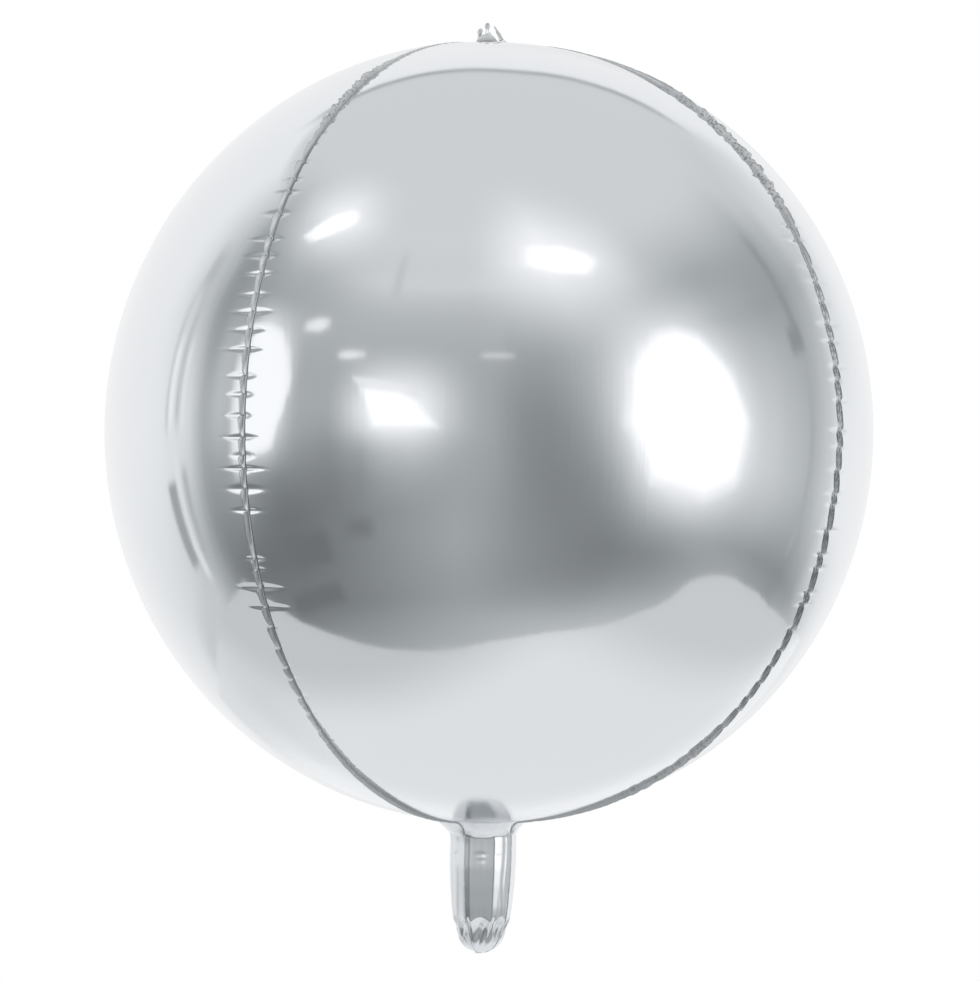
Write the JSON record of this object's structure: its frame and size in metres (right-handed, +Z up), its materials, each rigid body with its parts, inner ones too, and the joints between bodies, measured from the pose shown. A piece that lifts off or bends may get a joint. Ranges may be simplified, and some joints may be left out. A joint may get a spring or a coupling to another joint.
{
  "type": "round foil balloon",
  "caption": "Round foil balloon of mirror film, with scalloped seam fins, a gathered crown and a closed neck to tie a ribbon to.",
  "frame": {"origin": "on the axis, at the middle of the belly", "axes": "+Z up along the axis from the neck to the crown, -Y out of the middle of the front gore, +X out of the middle of the right gore"},
  "size_m": [0.3896, 0.3896, 0.4828],
  "materials": {
    "mirror_film": "mirror-bright aluminised polyester film, drawn tight by the gas, with fine puckers along the seams",
    "sealed_film": "two layers of aluminised film heat-sealed flat, bright and crinkled"
  },
  "bodies": {
    "root": {"gore_front": "mirror_film", "gore_right": "mirror_film", "gore_back": "mirror_film", "gore_left": "mirror_film", "seam_fin_front_right": "sealed_film", "seam_fin_back_right": "sealed_film", "seam_fin_back_left": "sealed_film", "seam_fin_front_left": "sealed_film", "crown_gather": "sealed_film", "crown_tab_front_right": "sealed_film", "crown_tab_back_right": "sealed_film", "crown_tab_back_left": "sealed_film", "crown_tab_front_left": "sealed_film", "neck_panel_front": "mirror_film", "neck_panel_right": "mirror_film", "neck_panel_back": "mirror_film", "neck_panel_left": "mirror_film", "neck_fin_front_right": "sealed_film", "neck_fin_back_right": "sealed_film", "neck_fin_back_left": "sealed_film", "neck_fin_front_left": "sealed_film", "neck_end_gather": "sealed_film"}
  },
  "joints": []
}
